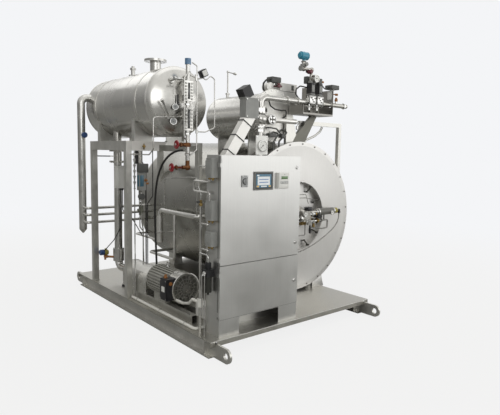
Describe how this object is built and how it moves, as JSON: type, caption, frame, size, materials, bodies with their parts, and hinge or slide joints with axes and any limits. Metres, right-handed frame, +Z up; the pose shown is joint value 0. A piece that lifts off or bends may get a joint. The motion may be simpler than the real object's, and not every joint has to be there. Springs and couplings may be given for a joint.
{
  "type": "industrial steam generator",
  "caption": "Skid-mounted industrial steam generator: horizontal boiler drum with burner plate, feed tank on a frame, pump set, economiser, valve station and a switch cabinet with hinged doors.",
  "frame": {"origin": "ground level under the middle of the skid, on the underside of its middle cross-member", "axes": "+X along the front edge to the right as seen from the cabinet's front, +Y to the back, +Z up"},
  "size_m": [2.5169, 3.2576, 2.73],
  "materials": {
    "frame_steel": "satin",
    "deck_steel": "satin",
    "cabinet_steel": "brushed",
    "zinc_sheet": "satin",
    "screen_plastic": "matte",
    "switch_plastic": "matte",
    "controller_plastic": "matte",
    "vessel_steel": "satin",
    "plate_steel": "satin",
    "valve_brass": "satin",
    "cast_grey": "satin",
    "sheet_steel": "satin",
    "pipe_steel": "satin",
    "box_plastic": "matte",
    "motor_grey": "satin",
    "black_plastic": "matte",
    "cap_blue": "satin",
    "valve_bronze": "satin",
    "wheel_red": "gloss",
    "gauge_steel": "satin",
    "head_teal": "satin",
    "conduit_plastic": "matte",
    "cable_rubber": "matte"
  },
  "bodies": {
    "plant": {"air_filter": "black_plastic", "boiler_feet": "frame_steel", "boiler_front_plate": "plate_steel", "boiler_rear_plate": "plate_steel", "boiler_shell": "vessel_steel", "burner_cable": "cable_rubber", "burner_cup": "plate_steel", "burner_head": "valve_brass", "cabinet_plinth": "cabinet_steel", "cabinet_shell": "cabinet_steel", "cable_ducts": "sheet_steel", "cross_members": "frame_steel", "damper_actuator": "cast_grey", "deck_conduit": "conduit_plastic", "deck_plate": "deck_steel", "drain_hose": "cable_rubber", "drain_lines": "pipe_steel", "economiser_cradles": "frame_steel", "economiser_ends": "vessel_steel", "economiser_fittings": "sheet_steel", "economiser_shell": "vessel_steel", "feed_tank_ends": "vessel_steel", "feed_tank_nozzle": "pipe_steel", "feed_tank_saddles": "frame_steel", "feed_tank_shell": "vessel_steel", "flame_sensor": "cast_grey", "flank_pipework": "pipe_steel", "gas_line": "pipe_steel", "gauge_stop_valves": "valve_bronze", "instrument_riser": "pipe_steel", "junction_box": "box_plastic", "level_gauge": "pipe_steel", "level_gauge_cap": "cap_blue", "level_transmitter": "head_teal", "motor_fan_cover": "motor_grey", "motor_terminal_box": "black_plastic", "mounting_plate": "zinc_sheet", "overflow_pipe": "pipe_steel", "pressure_gauge": "gauge_steel", "pressure_transmitter": "head_teal", "pump_base_rails": "frame_steel", "pump_hood": "sheet_steel", "pump_motor": "motor_grey", "side_valves": "cast_grey", "skid_beams": "frame_steel", "station_supports": "frame_steel", "suction_pipe": "pipe_steel", "tank_frame": "frame_steel", "tank_outlet_valve": "pipe_steel", "valve_stack": "black_plastic", "valve_station": "sheet_steel"},
    "upper_door": {"cabinet_upper_door": "cabinet_steel", "touch_screen": "screen_plastic", "main_switch": "switch_plastic", "burner_controller": "controller_plastic"},
    "lower_door": {"cabinet_lower_door": "cabinet_steel"},
    "upper_wheel": {"upper_handwheel": "wheel_red"},
    "lower_wheel": {"lower_handwheel": "wheel_red"}
  },
  "joints": [
    {"name": "upper_door_hinge", "type": "hinge", "parent": "plant", "child": "upper_door", "pos_m": [-0.909, -1.39, 1.2], "axis": [0, 0, -1], "range_deg": [0, 110]},
    {"name": "lower_door_hinge", "type": "hinge", "parent": "plant", "child": "lower_door", "pos_m": [-0.909, -1.39, 0.52], "axis": [0, 0, -1], "range_deg": [0, 110]},
    {"name": "upper_wheel_turn", "type": "hinge", "parent": "plant", "child": "upper_wheel", "pos_m": [-0.753, -0.45, 1.742], "axis": [-1, 0, 0], "range_deg": [0, 720]},
    {"name": "lower_wheel_turn", "type": "hinge", "parent": "plant", "child": "lower_wheel", "pos_m": [-0.808, -0.45, 1.523], "axis": [-1, 0, 0], "range_deg": [0, 720]}
  ]
}
